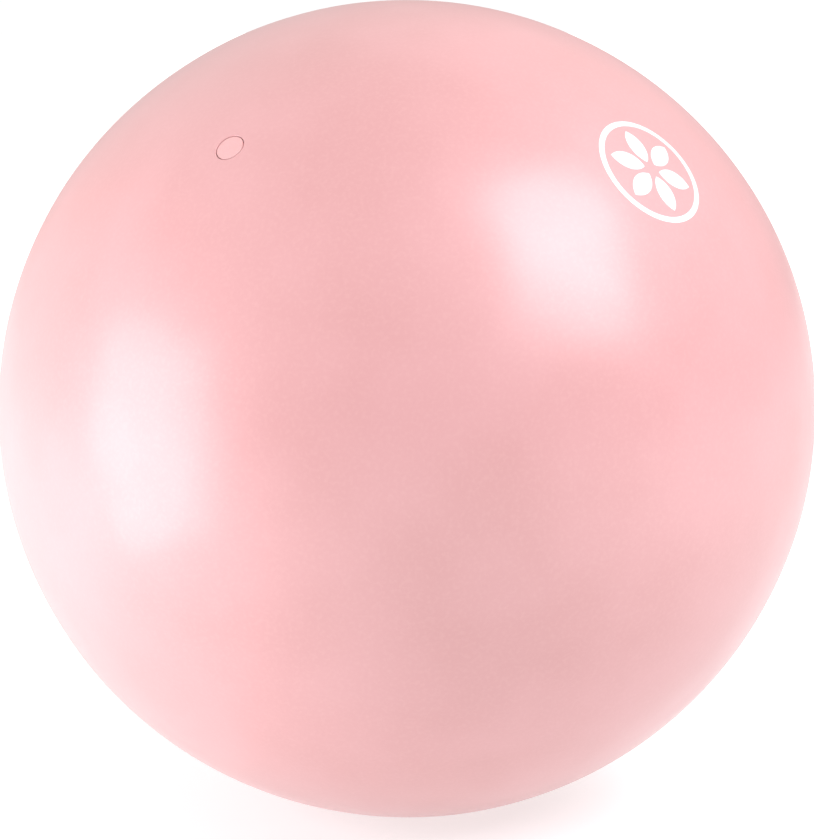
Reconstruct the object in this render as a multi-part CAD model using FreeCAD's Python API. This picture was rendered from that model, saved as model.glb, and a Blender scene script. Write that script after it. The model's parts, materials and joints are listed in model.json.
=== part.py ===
"""A soft inflatable exercise ball, 250 mm across, of the kind used in physiotherapy and floor exercise.

The ball comes apart into four pieces, one solid or group of solids each:
    ball_skin     the moulded soft PVC skin, one seamless hollow piece with a sunk pocket at the valve
    valve_seat    the firmer flanged sleeve moulded in behind that pocket, with a tapered bore for the plug
    valve_plug    the tapered push-in plug with a low round head, which pulls out along the valve's axis
    printed_mark  the white ink of the printed rosette, on the skin's outside

Frame: millimetres, origin at the centre of the ball, +Z up. -Y is the front and +X is to its right.
The ball stands on the flat that its own weight presses into the soft skin, at the lowest point.
A place on the ball is an azimuth, measured from the front towards +X, and an elevation above the horizon.
"""

import FreeCAD, Part
import math
import os

from FreeCAD import Vector

# The inflated ball
ball_diameter = 250.0
ball_radius = ball_diameter / 2
wall_thickness = 0.7
rest_flat_radius = 15.0

# Where the valve and the print are
valve_azimuth = -35.0
valve_elevation = 45.0
mark_azimuth = 48.0
mark_elevation = 40.5

# The plug. Depths are measured inwards from the ball's surface on the valve's axis
head_diameter = 8.2
head_underside_depth = 1.5
head_rim_thickness = 1.2
head_edge_round = 0.3
head_crown_depth = 0.05
neck_round = 0.3
shank_top_diameter = 4.6
shank_tip_diameter = 3.8
shank_length = 14.0
tip_round = 1.0

# The pocket that the head sits in, and the thick pad of skin behind it
gap_round_head = 0.5
gap_under_head = 0.02
pocket_radius = head_diameter / 2 + gap_round_head
pocket_floor_depth = head_underside_depth + gap_under_head
pocket_lip_round = 0.4
pocket_corner_round = 0.4
gap_round_neck = 0.05
skin_hole_radius = shank_top_diameter / 2 + neck_round + gap_round_neck
pad_radius = 8.6
pad_foot_radius = 12.0

# The seat behind the pad
seat_clearance = 0.03
seat_flange_radius = 7.6
seat_flange_thickness = 1.1
seat_tube_radius = 4.7
seat_length = 12.4
seat_edge_round = 0.35
seat_corner_round = 0.8
seat_mouth_chamfer = 0.4

# The printed rosette, an ink film seen from outside as a ring round six leaf-shaped petals
ink_thickness = 0.08
mark_ring_radius = 18.0
mark_ring_width = 1.8
petal_count = 6
petal_start = 2.6
petal_end = 14.2
petal_width = 6.0

origin = Vector(0, 0, 0)
up = Vector(0, 0, 1)
whole_ball = 2 * ball_diameter


def height_on_sphere(radius, reach):
    """How far above the centre a sphere's surface is, at a distance from its axis."""
    return math.sqrt(radius**2 - reach**2)


def direction(azimuth, elevation):
    """The unit vector from the ball's centre to a place on its surface."""
    turn, rise = math.radians(azimuth), math.radians(elevation)
    return Vector(math.cos(rise) * math.sin(turn), -math.cos(rise) * math.cos(turn), math.sin(rise))


def placed_on_ball(shape, azimuth, elevation):
    """A shape drawn about Z, turned so that its Z points out of the ball there, and its Y up the ball."""
    outward = direction(azimuth, elevation)
    turn = math.radians(azimuth)
    rightward = Vector(math.cos(turn), math.sin(turn), 0)
    turned = shape.copy()
    turned.Placement = FreeCAD.Placement(
        origin, FreeCAD.Rotation(rightward, outward.cross(rightward), outward, "ZXY")
    )
    return turned


def point(reach, height):
    """A point of a turned profile: its distance from the axis, and its height along the axis."""
    return Vector(reach, 0, height)


def run(start, end):
    return Part.LineSegment(start, end).toShape()


def round_about(centre, start, end):
    """The short arc about a centre, from start to end."""
    middle = (start - centre).normalize() + (end - centre).normalize()
    bulge = centre + middle.normalize() * (start - centre).Length
    return Part.Arc(start, bulge, end).toShape()


def turned_solid(edges):
    """The solid swept by a closed profile in the XZ plane as it turns once about Z."""
    solid = Part.Face(Part.Wire(edges)).revolve(origin, up, 360)
    if solid.ShapeType != "Solid":
        solid = Part.Solid(Part.Shell(solid.Faces))
    if solid.Volume < 0:
        solid.reverse()
    return solid


def shank_radius(height):
    """The plug's radius at a height along the valve's axis: a long slow taper."""
    top = ball_radius - head_underside_depth
    taper = (shank_top_diameter - shank_tip_diameter) / 2 / shank_length
    return shank_top_diameter / 2 - (top - height) * taper


def above(level):
    """A block that holds everything above a level."""
    return Part.makeBox(
        whole_ball, whole_ball, whole_ball, Vector(-whole_ball / 2, -whole_ball / 2, level)
    )


def ball_with_pocket():
    """The skin's outside as a filled solid about Z: the sphere, with the plug's pocket sunk into it."""
    floor = ball_radius - pocket_floor_depth
    lip_reach = pocket_radius + pocket_lip_round
    lip_height = height_on_sphere(ball_radius - pocket_lip_round, lip_reach)
    lip_centre = point(lip_reach, lip_height)
    lip_on_sphere = lip_centre * (ball_radius / lip_centre.Length)
    lip_on_wall = point(pocket_radius, lip_height)
    corner_centre = point(pocket_radius - pocket_corner_round, floor + pocket_corner_round)
    wall_foot = point(pocket_radius, corner_centre.z)
    floor_edge = point(corner_centre.x, floor)
    pole, side = point(0, -ball_radius), point(ball_radius, 0)
    return turned_solid(
        [
            Part.Arc(pole, side, lip_on_sphere).toShape(),
            round_about(lip_centre, lip_on_sphere, lip_on_wall),
            run(lip_on_wall, wall_foot),
            round_about(corner_centre, wall_foot, floor_edge),
            run(floor_edge, point(0, floor)),
            run(point(0, floor), pole),
        ]
    )


def air_chamber():
    """The skin's inside as a filled solid about Z: a smaller sphere, cut short by the pad at the pocket."""
    inside = ball_radius - wall_thickness
    pad = ball_radius - pocket_floor_depth - wall_thickness
    pole, side = point(0, -inside), point(inside, 0)
    pad_foot = point(pad_foot_radius, height_on_sphere(inside, pad_foot_radius))
    pad_edge = point(pad_radius, pad)
    return turned_solid(
        [
            Part.Arc(pole, side, pad_foot).toShape(),
            run(pad_foot, pad_edge),
            run(pad_edge, point(0, pad)),
            run(point(0, pad), pole),
        ]
    )


def ball_skin():
    """The skin: its outside less its inside and the plug's hole, pressed flat where the ball stands."""
    flat_level = -height_on_sphere(ball_radius, rest_flat_radius)
    outside = placed_on_ball(ball_with_pocket(), valve_azimuth, valve_elevation)
    inside = placed_on_ball(air_chamber(), valve_azimuth, valve_elevation)
    hole = Part.makeCylinder(skin_hole_radius, ball_radius)
    hole = placed_on_ball(hole, valve_azimuth, valve_elevation)
    pressed = outside.common(above(flat_level))
    return pressed.cut(inside.common(above(flat_level + wall_thickness))).cut(hole)


def valve_seat():
    """The flanged sleeve against the pad, with a bore that follows the plug's taper."""
    top = ball_radius - pocket_floor_depth - wall_thickness
    end = top - seat_length
    under_flange = top - seat_flange_thickness
    bore_top = shank_radius(top - seat_mouth_chamfer) + seat_clearance
    bore_end = shank_radius(end) + seat_clearance
    flange_top = point(seat_flange_radius - seat_edge_round, top - seat_edge_round)
    flange_under = point(seat_flange_radius - seat_edge_round, under_flange + seat_edge_round)
    corner = point(seat_tube_radius + seat_corner_round, under_flange - seat_corner_round)
    end_round = point(seat_tube_radius - seat_edge_round, end + seat_edge_round)
    outline = [
        point(bore_top, top - seat_mouth_chamfer),
        point(bore_top + seat_mouth_chamfer, top),
        point(flange_top.x, top),
        point(seat_flange_radius, flange_top.z),
        point(seat_flange_radius, flange_under.z),
        point(flange_under.x, under_flange),
        point(corner.x, under_flange),
        point(seat_tube_radius, corner.z),
        point(seat_tube_radius, end_round.z),
        point(end_round.x, end),
        point(bore_end, end),
    ]
    round_after = {2: flange_top, 4: flange_under, 6: corner, 8: end_round}
    edges = []
    for i, start in enumerate(outline):
        finish = outline[(i + 1) % len(outline)]
        centre = round_after.get(i)
        edges.append(round_about(centre, start, finish) if centre else run(start, finish))
    return placed_on_ball(turned_solid(edges), valve_azimuth, valve_elevation)


def valve_plug():
    """The plug: a low crowned head on a tapered shank with a rounded tip."""
    underside = ball_radius - head_underside_depth
    rim = head_diameter / 2
    rim_top = underside + head_rim_thickness
    tip = underside - shank_length
    crown = point(0, ball_radius - head_crown_depth)
    lower_edge = point(rim - head_edge_round, underside + head_edge_round)
    upper_edge = point(rim - head_edge_round, rim_top - head_edge_round)
    neck = point(shank_top_diameter / 2 + neck_round, underside - neck_round)
    tip_centre = point(shank_tip_diameter / 2 - tip_round, tip + tip_round)
    crown_edge = point(upper_edge.x, rim_top)
    quarter_fall = (crown.z - rim_top) / 4  # what a shallow arc has fallen at half its reach
    crown_middle = point(crown_edge.x / 2, crown.z - quarter_fall)
    edges = [
        Part.Arc(crown, crown_middle, crown_edge).toShape(),
        round_about(upper_edge, crown_edge, point(rim, upper_edge.z)),
        run(point(rim, upper_edge.z), point(rim, lower_edge.z)),
        round_about(lower_edge, point(rim, lower_edge.z), point(lower_edge.x, underside)),
        run(point(lower_edge.x, underside), point(neck.x, underside)),
        round_about(neck, point(neck.x, underside), point(shank_top_diameter / 2, neck.z)),
        run(point(shank_top_diameter / 2, neck.z), point(shank_tip_diameter / 2, tip_centre.z)),
        round_about(tip_centre, point(shank_tip_diameter / 2, tip_centre.z), point(tip_centre.x, tip)),
        run(point(tip_centre.x, tip), point(0, tip)),
        run(point(0, tip), crown),
    ]
    return placed_on_ball(turned_solid(edges), valve_azimuth, valve_elevation)


def petal(angle):
    """A leaf shape between two arcs, as a tall prism that points out from the rosette's middle."""
    middle = (petal_start + petal_end) / 2
    base, tip = Vector(petal_start, 0, 0), Vector(petal_end, 0, 0)
    left, right = Vector(middle, petal_width / 2, 0), Vector(middle, -petal_width / 2, 0)
    outline = Part.Wire([Part.Arc(base, right, tip).toShape(), Part.Arc(tip, left, base).toShape()])
    prism = Part.Face(outline).extrude(Vector(0, 0, whole_ball))
    prism.rotate(origin, up, angle)
    return prism


def printed_mark():
    """The rosette's ink: prisms cut down to the film between the skin and a slightly larger sphere."""
    ring = Part.makeCylinder(mark_ring_radius, whole_ball)
    ring = ring.cut(Part.makeCylinder(mark_ring_radius - mark_ring_width, whole_ball))
    step = 360 / petal_count
    outlines = [ring] + [petal(90 + step * i) for i in range(petal_count)]
    ink_outside = Part.makeSphere(ball_radius + ink_thickness)
    ink_inside = Part.makeSphere(ball_radius)
    films = [outline.common(ink_outside).cut(ink_inside).Solids[0] for outline in outlines]
    return placed_on_ball(Part.makeCompound(films), mark_azimuth, mark_elevation)


def save(name, shape):
    """Writes one piece, after making sure that every solid in it is whole."""
    for solid in shape.Solids:
        if not (solid.isValid() and solid.isClosed() and solid.Volume > 0):
            raise ValueError(f"{name} has a solid that is not whole")
    shape.exportStep(os.path.join("parts", f"{name}.step"))
    box = shape.optimalBoundingBox()
    volume = sum(solid.Volume for solid in shape.Solids)
    print(f"{name}: {len(shape.Solids)} solid(s), {volume:.1f} mm3")
    print(f"    lowest {box.XMin:.2f}, {box.YMin:.2f}, {box.ZMin:.2f}")
    print(f"    highest {box.XMax:.2f}, {box.YMax:.2f}, {box.ZMax:.2f}")


os.makedirs("parts", exist_ok=True)
save("ball_skin", ball_skin())
save("valve_seat", valve_seat())
save("valve_plug", valve_plug())
save("printed_mark", printed_mark())
pull = direction(valve_azimuth, valve_elevation)
print(f"valve axis {pull.x:.6f}, {pull.y:.6f}, {pull.z:.6f}")
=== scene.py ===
import json
import math

import bmesh
import bpy
from mathutils import Matrix, Vector


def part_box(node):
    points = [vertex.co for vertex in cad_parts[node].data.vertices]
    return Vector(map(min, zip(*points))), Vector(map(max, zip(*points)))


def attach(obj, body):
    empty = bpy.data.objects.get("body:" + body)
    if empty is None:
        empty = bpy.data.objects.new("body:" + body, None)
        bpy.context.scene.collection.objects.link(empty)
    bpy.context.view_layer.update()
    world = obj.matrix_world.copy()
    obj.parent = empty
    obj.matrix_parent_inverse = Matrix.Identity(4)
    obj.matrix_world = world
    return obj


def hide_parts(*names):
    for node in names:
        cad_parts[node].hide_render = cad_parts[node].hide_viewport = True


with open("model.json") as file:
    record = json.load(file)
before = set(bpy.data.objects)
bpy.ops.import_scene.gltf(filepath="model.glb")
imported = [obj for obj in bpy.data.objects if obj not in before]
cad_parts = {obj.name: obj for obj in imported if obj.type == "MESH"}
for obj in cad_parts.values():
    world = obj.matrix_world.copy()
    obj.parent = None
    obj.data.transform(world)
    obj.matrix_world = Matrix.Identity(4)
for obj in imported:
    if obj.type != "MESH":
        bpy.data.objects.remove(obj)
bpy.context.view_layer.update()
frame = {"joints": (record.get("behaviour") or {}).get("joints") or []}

mm = 0.001
weld = 0.001 * mm  # points closer than this are made one
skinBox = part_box("ball_skin")
ballRadius = skinBox[1].x
floorLevel = skinBox[0].z
pullAxis = Vector(frame["joints"][0]["axis"]).normalized()  # out of the ball along the valve
print(f"frame loaded: ball radius {ballRadius:.4f} m, standing at {floorLevel:.4f} m")


# helpers for node trees, and for turning what they make into plain meshes

def addNode(tree, kind, inputs=None, **settings):
    node = tree.nodes.new(kind)
    for name, value in settings.items():
        setattr(node, name, value)
    for key, value in (inputs or {}).items():
        if isinstance(value, bpy.types.NodeSocket):
            tree.links.new(value, node.inputs[key])
        else:
            node.inputs[key].default_value = value
    return node


def maths(tree, operation, first, second=0.0):
    return addNode(tree, "ShaderNodeMath", {0: first, 1: second}, operation=operation).outputs[0]


def squared(tree, value):
    return maths(tree, "POWER", value, 2.0)


def newTree(name, inputs):
    tree = bpy.data.node_groups.new(name, "GeometryNodeTree")
    tree.interface.new_socket("Geometry", in_out="INPUT", socket_type="NodeSocketGeometry")
    for label, kind in inputs.items():
        tree.interface.new_socket(label, in_out="INPUT", socket_type="NodeSocket" + kind)
    tree.interface.new_socket("Geometry", in_out="OUTPUT", socket_type="NodeSocketGeometry")
    return tree, tree.nodes.new("NodeGroupInput").outputs


def finishTree(tree, shape, material):
    # every tree ends with real geometry that carries its material
    smooth = addNode(tree, "GeometryNodeSetShadeSmooth", {"Geometry": shape})
    real = addNode(tree, "GeometryNodeRealizeInstances", {0: smooth.outputs[0]})
    painted = addNode(tree, "GeometryNodeSetMaterial", {0: real.outputs[0], "Material": material})
    last = tree.nodes.new("NodeGroupOutput")
    tree.links.new(painted.outputs[0], last.inputs[0])


def useTree(piece, tree, values):
    modifier = piece.modifiers.new(tree.name, "NODES")
    modifier.node_group = tree
    for item in tree.interface.items_tree:
        if item.in_out == "INPUT" and item.name in values:
            modifier[item.identifier] = values[item.name]


def settled(piece):
    # the same object as a plain mesh, with its modifiers used up
    ready = piece.evaluated_get(bpy.context.evaluated_depsgraph_get())
    mesh = bpy.data.meshes.new_from_object(ready)
    name = piece.name
    bpy.data.objects.remove(piece)
    mesh.name = name
    return addObject(name, mesh)


def addObject(name, data):
    made = bpy.data.objects.new(name, data)
    bpy.context.scene.collection.objects.link(made)
    return made


def outline(name, points, closed=False):
    # straight runs for a tree to turn: X is the reach from the axis, Y the height along it
    curve = bpy.data.curves.new(name, "CURVE")
    curve.dimensions = "3D"
    spline = curve.splines.new("POLY")
    spline.points.add(len(points) - 1)
    for spot, (reach, height) in zip(spline.points, points):
        spot.co = (reach, height, 0, 1)
    spline.use_cyclic_u = closed
    return addObject(name, curve)


def arc(centre, radius, start, end, steps):
    # points along an arc, with its angles in degrees from the reach direction
    middle, height = centre
    turns = [math.radians(start + (end - start) * i / steps) for i in range(steps + 1)]
    return [(middle + radius * math.cos(turn), height + radius * math.sin(turn)) for turn in turns]


def onBall(outward):
    # turns a shape drawn about Z so that its Z points outward and its Y points up the ball
    rightward = Vector((-outward.y, outward.x, 0)).normalized()
    return Matrix((rightward, outward.cross(rightward), outward)).transposed().to_4x4()


def faceOutwards(mesh):
    shape = bmesh.new()
    shape.from_mesh(mesh)
    if shape.calc_volume(signed=True) < 0:
        bmesh.ops.reverse_faces(shape, faces=shape.faces)
        shape.to_mesh(mesh)
    shape.free()


# the camera, the lights and the stage

cameraView = {
    "elevation": 10.0,  # degrees above the horizon, from the front
    "distance": 10.0,  # in ball radii
    "lens": 174.5,
    "sensor": 36.0,
    "aimBelowCentre": 3.45 * mm,  # the ball stands a little above the middle of the frame
}

softboxes = {
    "leftBox": {
        "place": (-0.50, -0.21, 0.04),
        "size": (0.36, 0.32),
        "roll": 0,
        "colour": (0.98, 0.93, 1),
        "power": 2.2,
    },
    "rightBox": {
        "place": (0.50, -0.34, 0.55),
        "size": (0.58, 0.48),
        "roll": 70,
        "colour": (0.98, 0.93, 1),
        "power": 7.4,
    },
    # what the left box throws back up off the floor
    "leftPool": {
        "place": (-0.37, -0.18, -0.12),
        "size": (0.22, 0.20),
        "roll": 0,
        "colour": (0.98, 0.92, 1),
        "power": 0.85,
        "up": True,
    },
}

# white cloth round the ball: how bright it is all over, and how much brighter on each side
tent = {
    "colour": (1, 0.98, 0.93, 1),
    "evenly": 0.02,
    "behind": 0.5,
    "above": 0.68,
    "left": 0.42,
    "backdrop": 1.02,
}

# the paper glows though it is no lamp: painted light on the ball, and a painted shade on itself beside
# the ball
paper = {
    "reach": 3.0,
    "sides": 96,
    "colour": (0.48, 0.5, 0.5, 1),
    "roughness": 0.85,
    "specular": 0.1,
    "glow": 0.72,  # painted light: the paper glows though it is no lamp, and this is what it throws up at the ball
    "seenGlowShadedNearBall": (0.62, 1.0),  # what the camera sees of its glow, beside the ball and far from it: dimmer beside the ball as a painted shade round it
    "glowReach": (0.15, 0.5),
}


def addCamera():
    rise = math.radians(cameraView["elevation"])
    away = Vector((0, -math.cos(rise), math.sin(rise)))
    upward = Vector((0, math.sin(rise), math.cos(rise)))
    data = bpy.data.cameras.new("camera")
    data.lens = cameraView["lens"]
    data.sensor_width = cameraView["sensor"]
    camera = addObject("camera", data)
    camera.location = away * ballRadius * cameraView["distance"] - upward * cameraView["aimBelowCentre"]
    camera.rotation_euler = away.to_track_quat("Z", "Y").to_euler()
    bpy.context.scene.camera = camera


def addSoftboxes():
    for name, box in softboxes.items():
        data = bpy.data.lights.new(name, "AREA")
        data.shape = "RECTANGLE"
        data.size, data.size_y = box["size"]
        data.energy = box["power"]
        data.color = box["colour"]
        light = addObject(name, data)
        place = Vector(box["place"])
        facing = Vector((0, 0, 1)) if box.get("up") else -place
        aim = (-facing).to_track_quat("Z", "Y").to_matrix()
        light.matrix_world = (aim @ Matrix.Rotation(math.radians(box["roll"]), 3, "Z")).to_4x4()
        light.location = place
        light.visible_camera = False


def addTent():
    world = bpy.data.worlds.new("whiteTent")
    world.use_nodes = True
    tree = world.node_tree
    tree.nodes.clear()
    way = addNode(tree, "ShaderNodeTexCoord").outputs["Generated"]
    bright = tent["evenly"]
    for side, towards in (("behind", (0, 1, 0)), ("above", (0, 0, 1)), ("left", (-1, 0, 0))):
        facing = addNode(tree, "ShaderNodeVectorMath", {0: way, 1: towards}, operation="DOT_PRODUCT")
        extra = between(tree, facing.outputs["Value"], 0.0, tent[side], smooth=True)
        bright = maths(tree, "ADD", extra, bright)
    cloth = addNode(tree, "ShaderNodeBackground", {"Strength": bright, "Color": tent["colour"]})
    white = {"Strength": tent["backdrop"], "Color": (1, 1, 1, 1)}
    backdrop = addNode(tree, "ShaderNodeBackground", white)
    path = addNode(tree, "ShaderNodeLightPath").outputs["Is Camera Ray"]
    seen = addNode(tree, "ShaderNodeMixShader", {0: path, 1: cloth.outputs[0], 2: backdrop.outputs[0]})
    addNode(tree, "ShaderNodeOutputWorld", {"Surface": seen.outputs[0]})
    bpy.context.scene.world = world


def addPaper():
    reach = paper["reach"]
    sides = range(paper["sides"])
    turns = [math.tau * side / paper["sides"] for side in sides]
    rim = [(reach * math.cos(turn), reach * math.sin(turn), floorLevel) for turn in turns]
    mesh = bpy.data.meshes.new("paper")
    mesh.from_pydata(rim, [], [list(sides)])
    material, tree, shader = newMaterial("whitePaper")
    # painted light: the paper's own glow lights the ball, and for the camera the glow is lower near the
    # ball, a painted shade round it
    coords = addNode(tree, "ShaderNodeTexCoord").outputs["Object"]
    away = addNode(tree, "ShaderNodeVectorMath", {0: coords}, operation="LENGTH").outputs["Value"]
    seenGlowShadedNearBall = between(tree, away, *paper["seenGlowShadedNearBall"], *paper["glowReach"], smooth=True)
    path = addNode(tree, "ShaderNodeLightPath").outputs["Is Camera Ray"]
    glow = between(tree, path, paper["glow"], seenGlowShadedNearBall)
    tree.links.new(glow, shader.inputs["Emission Strength"])
    setInputs(
        shader,
        {
            "Base Color": paper["colour"],
            "Roughness": paper["roughness"],
            "Specular IOR Level": paper["specular"],
            "Emission Color": (1, 1, 1, 1),
        },
    )
    mesh.materials.append(material)
    addObject("paper", mesh)


# materials

def newMaterial(name):
    material = bpy.data.materials.new(name)
    material.use_nodes = True
    tree = material.node_tree
    return material, tree, tree.nodes["Principled BSDF"]


def setInputs(shader, values):
    for name, value in values.items():
        shader.inputs[name].default_value = value


def noise(tree, coords, size, detail=2.0, distortion=0.0):
    # size is how many lumps there are in a metre
    values = {"Vector": coords, "Scale": size, "Detail": detail, "Distortion": distortion}
    return addNode(tree, "ShaderNodeTexNoise", values).outputs["Fac"]


def between(tree, factor, first, second, low=0.0, high=1.0, smooth=False):
    values = {"Value": factor, "From Min": low, "From Max": high, "To Min": first, "To Max": second}
    kind = "SMOOTHSTEP" if smooth else "LINEAR"
    return addNode(tree, "ShaderNodeMapRange", values, interpolation_type=kind).outputs["Result"]


def mixColour(tree, factor, first, second):
    return addNode(tree, "ShaderNodeMix", {0: factor, 6: first, 7: second}, data_type="RGBA").outputs[2]


def bump(tree, height, depth, under=None):
    values = {"Strength": 1.0, "Distance": depth, "Height": height}
    if under is not None:
        values["Normal"] = under
    return addNode(tree, "ShaderNodeBump", values).outputs["Normal"]


vinyl = {
    "rose": (0.635, 0.345, 0.346, 1),
    "deepRose": (0.605, 0.322, 0.319, 1),
    "patches": 26,  # soft patches of colour in a metre
    "patchBand": (0.35, 0.65),
    "speckColour": (0.70, 0.42, 0.42, 1),
    "specks": 900,
    "speckBand": (0.45, 0.75),
    "speckShare": (0.0, 0.18),  # how far the colour goes over to the specks' own
    "handling": 45,  # duller and shinier places in a metre
    "handlingBand": (0.35, 0.65),
    "roughness": (0.285, 0.33),  # any smoother, and the grain renders as creases
    "grain": 620,
    "grainDepth": 0.012 * mm,
    "frost": 2400,
    "frostDepth": 0.003 * mm,
    "sheen": 0.1,
    "sheenRoughness": 0.4,
    "sheenTint": (1.0, 0.93, 0.95, 1),
}


def satinVinyl():
    material, tree, shader = newMaterial("satinVinyl")
    coords = addNode(tree, "ShaderNodeTexCoord").outputs["Object"]
    patches = between(tree, noise(tree, coords, vinyl["patches"]), 0.0, 1.0, *vinyl["patchBand"])
    base = mixColour(tree, patches, vinyl["deepRose"], vinyl["rose"])
    specks = noise(tree, coords, vinyl["specks"], 1.0)
    share = between(tree, specks, *vinyl["speckShare"], *vinyl["speckBand"])
    tree.links.new(mixColour(tree, share, base, vinyl["speckColour"]), shader.inputs["Base Color"])
    handled = noise(tree, coords, vinyl["handling"], 4.0, 0.6)
    roughness = between(tree, handled, *vinyl["roughness"], *vinyl["handlingBand"])
    tree.links.new(roughness, shader.inputs["Roughness"])
    grain = bump(tree, noise(tree, coords, vinyl["grain"]), vinyl["grainDepth"])
    frost = bump(tree, noise(tree, coords, vinyl["frost"], 1.0), vinyl["frostDepth"], grain)
    tree.links.new(frost, shader.inputs["Normal"])
    setInputs(
        shader,
        {
            "Sheen Weight": vinyl["sheen"],
            "Sheen Roughness": vinyl["sheenRoughness"],
            "Sheen Tint": vinyl["sheenTint"],
        },
    )
    return material


# sizes of a pattern are how many there are of it in a metre

plugLook = {
    "colours": ((0.68, 0.385, 0.38, 1), (0.72, 0.415, 0.41, 1)),
    "clouds": 300,
    "wear": 900,
    "roughness": (0.34, 0.46),
    "grain": 3000,
    "grainDepth": 0.004 * mm,
    "glowThrough": 0.2,
    "glowDepth": 0.8 * mm,
    "glowColour": (1.0, 0.5, 0.4),
}

seatLook = {
    "colours": ((0.72, 0.33, 0.33, 1), (0.8, 0.4, 0.4, 1)),
    "clouds": 240,
    "wear": 700,
    "roughness": (0.42, 0.56),
    "grain": 2400,
    "grainDepth": 0.006 * mm,
}

inkLook = {
    "colours": ((0.83, 0.81, 0.81, 1), (0.78, 0.64, 0.64, 1)),
    "thinSpots": 1500,
    "thinBand": (0.6, 0.8),
    "thinShare": (0.0, 0.5),  # how far the skin's colour shows through
    "wear": 500,
    "roughness": (0.36, 0.5),
    "grain": 1200,
    "grainDepth": 0.006 * mm,
}


def wornFinish(tree, shader, coords, share, look):
    # two colours, a roughness that wanders and a fine grain
    tree.links.new(mixColour(tree, share, *look["colours"]), shader.inputs["Base Color"])
    roughness = between(tree, noise(tree, coords, look["wear"], 3.0), *look["roughness"])
    tree.links.new(roughness, shader.inputs["Roughness"])
    grain = bump(tree, noise(tree, coords, look["grain"]), look["grainDepth"])
    tree.links.new(grain, shader.inputs["Normal"])


def plugPlastic():
    material, tree, shader = newMaterial("plugPlastic")
    coords = addNode(tree, "ShaderNodeTexCoord").outputs["Object"]
    wornFinish(tree, shader, coords, noise(tree, coords, plugLook["clouds"], 3.0), plugLook)
    setInputs(
        shader,
        {
            "Subsurface Weight": plugLook["glowThrough"],
            "Subsurface Scale": plugLook["glowDepth"],
            "Subsurface Radius": plugLook["glowColour"],
        },
    )
    return material


def seatPlastic():
    material, tree, shader = newMaterial("seatPlastic")
    coords = addNode(tree, "ShaderNodeTexCoord").outputs["Object"]
    wornFinish(tree, shader, coords, noise(tree, coords, seatLook["clouds"], 3.0), seatLook)
    return material


def printInk():
    material, tree, shader = newMaterial("printInk")
    coords = addNode(tree, "ShaderNodeTexCoord").outputs["Object"]
    spots = noise(tree, coords, inkLook["thinSpots"])
    thin = between(tree, spots, *inkLook["thinShare"], *inkLook["thinBand"])
    wornFinish(tree, shader, coords, thin, inkLook)
    return material


# the two trees that shape the turned pieces and the skin

def turningTree():
    tree, given = newTree(
        "turnAboutAxis",
        {"Steps around": "Int", "Rail": "Float", "Weld": "Float", "Material": "Material"},
    )
    # the outline is carried round a very small ring, so it is moved inwards by that ring's own radius,
    # and upside down first because the ring carries it the other way up
    rail = addNode(
        tree,
        "GeometryNodeCurvePrimitiveCircle",
        {"Resolution": given["Steps around"], "Radius": given["Rail"]},
    )
    inwards = maths(tree, "MULTIPLY", given["Rail"], -1.0)
    shift = addNode(tree, "ShaderNodeCombineXYZ", {"X": inwards})
    moved = addNode(
        tree,
        "GeometryNodeTransform",
        {"Geometry": given["Geometry"], "Translation": shift.outputs[0], "Scale": (1, -1, 1)},
    )
    turned = addNode(
        tree, "GeometryNodeCurveToMesh", {"Curve": rail.outputs[0], "Profile Curve": moved.outputs[0]}
    )
    closing = {0: turned.outputs[0], "Distance": given["Weld"]}
    welded = addNode(tree, "GeometryNodeMergeByDistance", closing)
    finishTree(tree, welded.outputs[0], given["Material"])
    return tree


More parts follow.
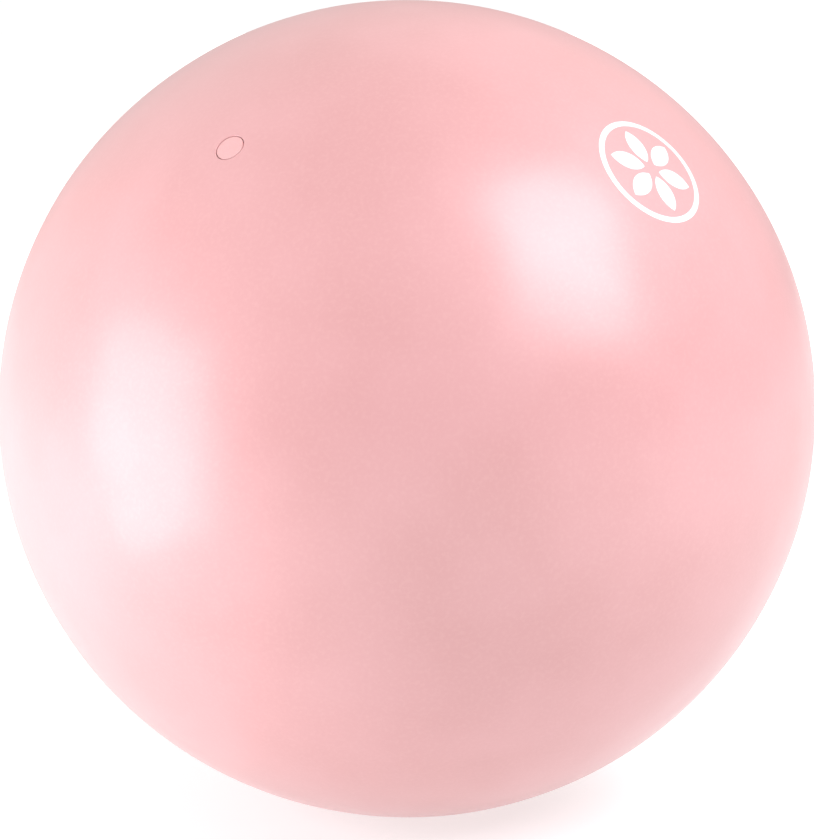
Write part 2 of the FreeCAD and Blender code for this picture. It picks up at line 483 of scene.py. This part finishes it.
def softSkinTree():
    # sinks the surface by soft swells, except round the valve, and presses it flat where it stands
    tree, given = newTree(
        "softSkin",
        {
            "Ball radius": "Float",
            "Wall": "Float",
            "Swell": "Float",
            "Swells": "Float",
            "Calm": "Float",
            "Valve axis": "Vector",
            "Floor level": "Float",
            "Floor round": "Float",
            "Inner from": "Float",
            "Material": "Material",
        },
    )
    place = addNode(tree, "GeometryNodeInputPosition").outputs[0]
    length = addNode(tree, "ShaderNodeVectorMath", {0: place}, operation="LENGTH").outputs["Value"]
    outward = addNode(tree, "ShaderNodeVectorMath", {0: place}, operation="NORMALIZE").outputs[0]
    onSphere = addNode(
        tree, "ShaderNodeVectorMath", {0: outward, "Scale": given["Ball radius"]}, operation="SCALE"
    ).outputs[0]
    lumps = addNode(
        tree, "ShaderNodeTexNoise", {"Vector": onSphere, "Scale": given["Swells"], "Detail": 1.0}
    ).outputs["Fac"]
    towardsValve = addNode(
        tree, "ShaderNodeVectorMath", {0: onSphere, 1: given["Valve axis"]}, operation="DOT_PRODUCT"
    ).outputs["Value"]
    depthBelow = maths(tree, "SUBTRACT", given["Ball radius"], towardsValve)
    calm = addNode(
        tree,
        "ShaderNodeMapRange",
        {"Value": depthBelow, "From Min": 0.0, "From Max": given["Calm"], "To Min": 0.0, "To Max": 1.0},
        interpolation_type="SMOOTHSTEP",
    ).outputs["Result"]
    sunk = maths(tree, "MULTIPLY", maths(tree, "MULTIPLY", lumps, calm), given["Swell"])
    inwards = maths(tree, "MULTIPLY", sunk, -1.0)
    offset = addNode(
        tree, "ShaderNodeVectorMath", {0: outward, "Scale": inwards}, operation="SCALE"
    ).outputs[0]
    swollen = addNode(
        tree, "GeometryNodeSetPosition", {"Geometry": given["Geometry"], "Offset": offset}
    ).outputs[0]
    # the inner wall is pressed flat one wall thickness higher
    dividingRadius = maths(tree, "SUBTRACT", given["Ball radius"], given["Inner from"])
    inner = maths(tree, "LESS_THAN", length, dividingRadius)
    level = maths(tree, "ADD", given["Floor level"], maths(tree, "MULTIPLY", inner, given["Wall"]))
    xyz = addNode(tree, "ShaderNodeSeparateXYZ", {0: place})
    pressed = addNode(
        tree,
        "ShaderNodeMath",
        {0: xyz.outputs["Z"], 1: level, 2: given["Floor round"]},
        operation="SMOOTH_MAX",
    ).outputs[0]
    flat = addNode(
        tree, "ShaderNodeCombineXYZ", {"X": xyz.outputs["X"], "Y": xyz.outputs["Y"], "Z": pressed}
    ).outputs[0]
    standing = addNode(tree, "GeometryNodeSetPosition", {"Geometry": swollen, "Position": flat})
    finishTree(tree, standing.outputs[0], given["Material"])
    return tree


def turnedPiece(name, points, closed, stepsAround, material):
    piece = outline(name, [(reach * mm, height * mm) for reach, height in points], closed)
    values = {"Steps around": stepsAround, "Rail": mm, "Weld": weld, "Material": material}
    useTree(piece, turning, values)
    piece = settled(piece)
    piece.data.transform(onBall(pullAxis))
    faceOutwards(piece.data)
    return piece


def softened(piece, material):
    useTree(
        piece,
        softening,
        {
            "Ball radius": ballRadius,
            "Wall": skin["wall"] * mm,
            "Swell": skin["swell"] * mm,
            "Swells": skin["swells"],
            "Calm": skin["calm"] * mm,
            "Valve axis": pullAxis,
            "Floor level": floorLevel,
            "Floor round": skin["floorRound"] * mm,
            "Inner from": skin["innerFrom"] * mm,
            "Material": material,
        },
    )
    return settled(piece)


# the skin, all sizes in millimetres

skin = {
    "wall": 0.7,
    "pocketRadius": 4.42,
    "pocketDepth": 1.52,
    "lipRound": 0.25,
    "cornerRound": 0.4,
    "holeRadius": 2.65,
    "holeRound": 0.15,
    "padRadius": 8.6,
    "padFoot": 12.0,
    "swell": 0.3,  # how deep the soft swells are
    "swells": 24,  # swells in a metre
    "calm": 4.0,  # depth below the valve's place at which the swells are full
    "floorRound": 0.25,
    "innerFrom": 0.42,  # deeper than this it is the inner wall, as the swells never reach so far
    "stepsAround": 288,
    "outerRings": 150,
    "innerRings": 50,
    "fineBand": 3.0,  # degrees beside the lip with finer rings
    "fineStep": 0.5,
    "fineRings": 6,
    "lipSteps": 8,
    "cornerSteps": 6,
    "holeSteps": 4,
}


def makeSkin(material):
    radius = ballRadius / mm
    lipReach = skin["pocketRadius"] + skin["lipRound"]
    lipHeight = math.sqrt((radius - skin["lipRound"]) ** 2 - lipReach**2)
    lipAngle = math.degrees(math.atan2(lipHeight, lipReach))
    floor = radius - skin["pocketDepth"]
    corner = (skin["pocketRadius"] - skin["cornerRound"], floor + skin["cornerRound"])
    edge = (skin["holeRadius"] + skin["holeRound"], floor - skin["holeRound"])
    inside = radius - skin["wall"]
    under = floor - skin["wall"]
    footAngle = math.degrees(math.acos(skin["padFoot"] / inside))
    fineFrom = lipAngle - skin["fineBand"]
    points = arc((0, 0), radius, -90, fineFrom, skin["outerRings"])
    points += arc((0, 0), radius, fineFrom + skin["fineStep"], lipAngle, skin["fineRings"])
    points += arc((lipReach, lipHeight), skin["lipRound"], lipAngle, 180, skin["lipSteps"])[1:]
    points += arc(corner, skin["cornerRound"], 0, -90, skin["cornerSteps"])
    points += arc(edge, skin["holeRound"], 90, 180, skin["holeSteps"])
    points += [(skin["holeRadius"], under), (skin["padRadius"], under)]
    points += arc((0, 0), inside, footAngle, -90, skin["innerRings"])
    points[0] = (0, -radius)
    points[-1] = (0, -inside)
    piece = turnedPiece("skinShell", points, False, skin["stepsAround"], material)
    return softened(piece, material)


# the filling plug

plug = {
    "headRadius": 4.2,
    "underside": 1.5,  # depth below the ball's surface
    "rimThickness": 1.3,
    "edgeRound": 0.2,
    "crownDepth": 0.05,
    "gateRadius": 0.55,  # the small moulding mark in the middle of the head
    "gateDepth": 0.09,
    "neckRound": 0.3,
    "topRadius": 2.3,
    "tipRadius": 1.9,
    "shank": 14.0,
    "tipRound": 1.0,
    "stepsAround": 96,
    "gateSteps": 6,
    "crownSteps": 24,
    "edgeSteps": 6,
    "neckSteps": 5,
    "shankSteps": 12,
    "tipSteps": 8,
}


def makePlug(material):
    radius = ballRadius / mm
    under = radius - plug["underside"]
    rimTop = under + plug["rimThickness"]
    tip = under - plug["shank"]
    crown = radius - plug["crownDepth"]
    edge = plug["edgeRound"]
    edgeReach = plug["headRadius"] - edge
    rise = crown - rimTop
    points = [(0, crown - plug["gateDepth"])]
    for i in range(1, plug["gateSteps"] + 1):
        share = i / plug["gateSteps"]
        depth = plug["gateDepth"] * (0.5 + 0.5 * math.cos(math.pi * share))
        points.append((plug["gateRadius"] * share, crown - depth))
    for i in range(1, plug["crownSteps"] + 1):
        reach = plug["gateRadius"] + (edgeReach - plug["gateRadius"]) * i / plug["crownSteps"]
        points.append((reach, crown - rise * (reach / edgeReach) ** 2))
    points += arc((edgeReach, rimTop - edge), edge, 90, 0, plug["edgeSteps"])[1:]
    points += arc((edgeReach, under + edge), edge, 0, -90, plug["edgeSteps"])
    neck = plug["neckRound"]
    points += arc((plug["topRadius"] + neck, under - neck), neck, 90, 180, plug["neckSteps"])
    bottom = tip + plug["tipRound"]
    for i in range(1, plug["shankSteps"] + 1):
        share = i / plug["shankSteps"]
        reach = plug["topRadius"] + (plug["tipRadius"] - plug["topRadius"]) * share
        points.append((reach, under - neck + (bottom - under + neck) * share))
    tipCentre = (plug["tipRadius"] - plug["tipRound"], bottom)
    points += arc(tipCentre, plug["tipRound"], 0, -90, plug["tipSteps"])[1:]
    points.append((0, tip))
    return turnedPiece("fillPlug", points, False, plug["stepsAround"], material)


# the seat behind the skin

seat = {
    "top": 2.22,  # depth below the ball's surface
    "length": 12.4,
    "flangeRadius": 7.6,
    "flange": 1.1,
    "tubeRadius": 4.7,
    "edgeRound": 0.35,
    "cornerRound": 0.8,
    "chamfer": 0.4,
    "clearance": 0.03,
    "stepsAround": 96,
    "boreSteps": 10,
    "edgeSteps": 4,
    "cornerSteps": 6,
}


def makeSeat(material):
    top = ballRadius / mm - seat["top"]
    end = top - seat["length"]
    under = top - seat["flange"]
    edge = seat["edgeRound"]
    corner = seat["cornerRound"]
    mouth = top - seat["chamfer"]
    headUnder = ballRadius / mm - plug["underside"]
    taper = (plug["topRadius"] - plug["tipRadius"]) / plug["shank"]

    def bore(height):
        return plug["topRadius"] - (headUnder - height) * taper + seat["clearance"]

    heights = [end + (mouth - end) * i / seat["boreSteps"] for i in range(seat["boreSteps"] + 1)]
    points = [(bore(height), height) for height in heights]
    points.append((bore(mouth) + seat["chamfer"], top))
    points += arc((seat["flangeRadius"] - edge, top - edge), edge, 90, 0, seat["edgeSteps"])
    points += arc((seat["flangeRadius"] - edge, under + edge), edge, 0, -90, seat["edgeSteps"])
    points += arc((seat["tubeRadius"] + corner, under - corner), corner, 90, 180, seat["cornerSteps"])
    points += arc((seat["tubeRadius"] - edge, end + edge), edge, 0, -90, seat["edgeSteps"])
    return turnedPiece("valveSleeve", points, True, seat["stepsAround"], material)


# the printed rosette

rosette = {
    "azimuth": 48.0,  # degrees from the front towards +X
    "elevation": 40.5,
    "ringRadius": 18.0,
    "ringWidth": 1.8,
    "petals": 6,
    "petalStart": 2.6,
    "petalEnd": 14.2,
    "petalWidth": 6.0,
    "proud": 0.06,  # how far the ink stands above the skin
    "film": 0.09,
    "petalGrid": (25, 11),
    "ringSteps": 144,
    "bandPoints": 4,
    "sharpFrom": 40,  # degrees
}


def rosetteTree():
    tree, given = newTree(
        "rosette",
        {
            "Petals": "Int",
            "Start": "Float",
            "End": "Float",
            "Width": "Float",
            "Ring": "Float",
            "Ring width": "Float",
            "Surface": "Float",
            "Material": "Material",
        },
    )
    # one petal between two equal arcs, from a grid of 1 by 1
    stepsAlong, stepsAcross = rosette["petalGrid"]
    size = {"Size X": 1.0, "Size Y": 1.0, "Vertices X": stepsAlong, "Vertices Y": stepsAcross}
    grid = addNode(tree, "GeometryNodeMeshGrid", size)
    place = addNode(tree, "GeometryNodeInputPosition").outputs[0]
    xyz = addNode(tree, "ShaderNodeSeparateXYZ", {0: place})
    x, y = xyz.outputs["X"], xyz.outputs["Y"]
    petalLength = maths(tree, "SUBTRACT", given["End"], given["Start"])
    halfLength = maths(tree, "MULTIPLY", petalLength, 0.5)
    halfWidth = maths(tree, "MULTIPLY", given["Width"], 0.5)
    squares = maths(tree, "ADD", squared(tree, halfLength), squared(tree, halfWidth))
    bow = maths(tree, "DIVIDE", squares, given["Width"])  # the arcs' radius
    along = maths(tree, "MULTIPLY", x, petalLength)
    inside = maths(tree, "SUBTRACT", squared(tree, bow), squared(tree, along))
    toChord = maths(tree, "SUBTRACT", bow, halfWidth)
    reach = maths(tree, "SUBTRACT", maths(tree, "SQRT", inside), toChord)
    across = maths(tree, "MULTIPLY", maths(tree, "MULTIPLY", y, 2.0), reach)
    middle = maths(tree, "ADD", given["Start"], halfLength)
    shaped = addNode(
        tree, "ShaderNodeCombineXYZ", {"X": maths(tree, "ADD", along, middle), "Y": across}
    ).outputs[0]
    petal = addNode(tree, "GeometryNodeSetPosition", {"Geometry": grid.outputs[0], "Position": shaped})
    # the petals, evenly round the middle with one pointing up the ball
    spots = addNode(tree, "GeometryNodePoints", {"Count": given["Petals"]})
    index = addNode(tree, "GeometryNodeInputIndex").outputs[0]
    share = maths(tree, "DIVIDE", index, given["Petals"])
    turn = maths(tree, "MULTIPLY", maths(tree, "ADD", share, 0.25), math.tau)
    angles = addNode(tree, "ShaderNodeCombineXYZ", {"Z": turn}).outputs[0]
    petals = addNode(
        tree,
        "GeometryNodeInstanceOnPoints",
        {"Points": spots.outputs[0], "Instance": petal.outputs[0], "Rotation": angles},
    )
    # the ring, as a flat band carried round a circle
    halfBand = maths(tree, "MULTIPLY", given["Ring width"], 0.5)
    middleOfRing = maths(tree, "SUBTRACT", given["Ring"], halfBand)
    values = {"Resolution": rosette["ringSteps"], "Radius": middleOfRing}
    circle = addNode(tree, "GeometryNodeCurvePrimitiveCircle", values)
    bandStart = addNode(tree, "ShaderNodeCombineXYZ", {"X": maths(tree, "MULTIPLY", halfBand, -1.0)})
    bandEnd = addNode(tree, "ShaderNodeCombineXYZ", {"X": halfBand})
    ends = {"Start": bandStart.outputs[0], "End": bandEnd.outputs[0]}
    line = addNode(tree, "GeometryNodeCurvePrimitiveLine", ends)
    spread = {"Curve": line.outputs[0], "Count": rosette["bandPoints"]}
    band = addNode(tree, "GeometryNodeResampleCurve", spread)
    ring = addNode(
        tree, "GeometryNodeCurveToMesh", {"Curve": circle.outputs[0], "Profile Curve": band.outputs[0]}
    )
    both = addNode(tree, "GeometryNodeJoinGeometry")
    tree.links.new(petals.outputs[0], both.inputs[0])
    tree.links.new(ring.outputs[0], both.inputs[0])
    real = addNode(tree, "GeometryNodeRealizeInstances", {0: both.outputs[0]})
    welded = addNode(tree, "GeometryNodeMergeByDistance", {0: real.outputs[0], "Distance": weld})
    # lifted straight up onto the ball
    flat = addNode(tree, "GeometryNodeInputPosition").outputs[0]
    reachOut = addNode(tree, "ShaderNodeVectorMath", {0: flat}, operation="LENGTH").outputs["Value"]
    squaredHeight = maths(tree, "SUBTRACT", squared(tree, given["Surface"]), squared(tree, reachOut))
    height = addNode(tree, "ShaderNodeCombineXYZ", {"Z": maths(tree, "SQRT", squaredHeight)})
    lifted = addNode(
        tree, "GeometryNodeSetPosition", {"Geometry": welded.outputs[0], "Offset": height.outputs[0]}
    )
    finishTree(tree, lifted.outputs[0], given["Material"])
    return tree


def makeRosette(material):
    seed = addObject("inkRosette", bpy.data.meshes.new("inkRosette"))
    useTree(
        seed,
        rosetteTree(),
        {
            "Petals": rosette["petals"],
            "Start": rosette["petalStart"] * mm,
            "End": rosette["petalEnd"] * mm,
            "Width": rosette["petalWidth"] * mm,
            "Ring": rosette["ringRadius"] * mm,
            "Ring width": rosette["ringWidth"] * mm,
            "Surface": ballRadius + rosette["proud"] * mm,
            "Material": material,
        },
    )
    piece = settled(seed)
    turn = math.radians(rosette["azimuth"])
    rise = math.radians(rosette["elevation"])
    level = math.cos(rise)
    outward = Vector((level * math.sin(turn), -level * math.cos(turn), math.sin(rise)))
    piece.data.transform(onBall(outward))
    piece = softened(piece, material)
    shape = bmesh.new()
    shape.from_mesh(piece.data)
    for face in shape.faces:
        if face.normal.dot(outward) < 0:
            face.normal_flip()
    shape.to_mesh(piece.data)
    shape.free()
    thick = piece.modifiers.new("film", "SOLIDIFY")
    thick.thickness = rosette["film"] * mm
    thick.offset = -1
    piece = settled(piece)
    piece.data.set_sharp_from_angle(angle=math.radians(rosette["sharpFrom"]))
    return piece


bpy.context.scene.view_settings.view_transform = "Standard"
addCamera()
addSoftboxes()
addTent()
addPaper()
print("camera, lights and floor made")

turning = turningTree()
softening = softSkinTree()
pieces = [
    (makeSkin(satinVinyl()), "ball", "ball_skin", "skin_vinyl"),
    (makeSeat(seatPlastic()), "ball", "valve_seat", "seat_vinyl"),
    (makeRosette(printInk()), "ball", "printed_mark", "mark_ink"),
    (makePlug(plugPlastic()), "plug", "valve_plug", "plug_plastic"),
]
for piece, body, node, slot in pieces:
    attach(piece, body)
    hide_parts(node)
    print(f"{piece.name} made: {len(piece.data.polygons)} faces, in place of {node}")
